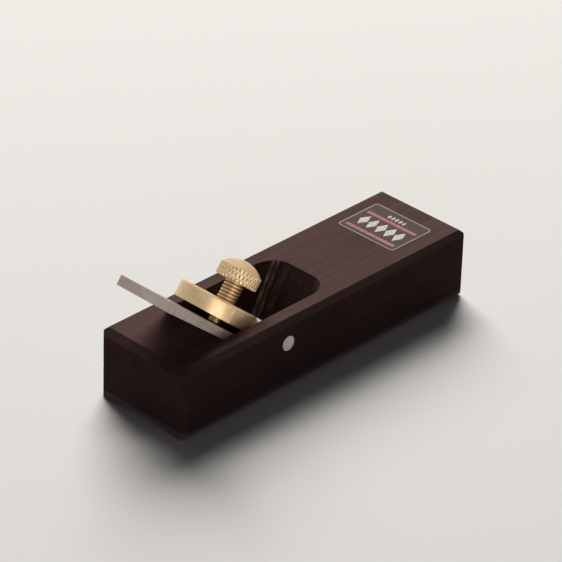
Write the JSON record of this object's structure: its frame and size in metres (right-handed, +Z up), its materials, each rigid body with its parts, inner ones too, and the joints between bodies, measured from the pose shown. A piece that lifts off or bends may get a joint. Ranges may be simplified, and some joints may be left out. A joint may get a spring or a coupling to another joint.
{
  "type": "round plane",
  "caption": "Small wooden round plane: dark stock with a hollow sole, tapered iron on a sloping bed, brass lever cap held under a cross pin by a knurled thumb screw.",
  "frame": {"origin": "middle of the sole, on the plane that the sole's two flat lands rest on", "axes": "+X from the heel to the toe, +Y across the stock, +Z up from the sole"},
  "size_m": [0.1, 0.0298, 0.0358],
  "materials": {
    "stock_wood": "dense dark hardwood, satin polish",
    "pin_steel": "filed flush with the sides",
    "iron_steel": "ground, with light speckles",
    "cap_brass": "worn polish",
    "screw_brass": "turned and knurled"
  },
  "bodies": {
    "stock": {"stock": "stock_wood", "cross_pin": "pin_steel"},
    "iron": {"iron": "iron_steel"},
    "lever_cap": {"lever_cap": "cap_brass"},
    "thumb_screw": {"thumb_screw": "screw_brass"}
  },
  "joints": [
    {"name": "iron_slide", "type": "slide", "parent": "stock", "child": "iron", "axis": [-0.7727, 0, 0.6347], "range_m": [-0.0005, 0.03]},
    {"name": "cap_slide", "type": "slide", "parent": "stock", "child": "lever_cap", "axis": [-0.7619, 0, 0.6477], "range_m": [0, 0.018]},
    {"name": "screw_turn", "type": "hinge", "parent": "lever_cap", "child": "thumb_screw", "pos_m": [-0.02317, 0, 0.02002], "axis": [0.6477, 0, 0.7619], "range_deg": [0, 1880]}
  ]
}
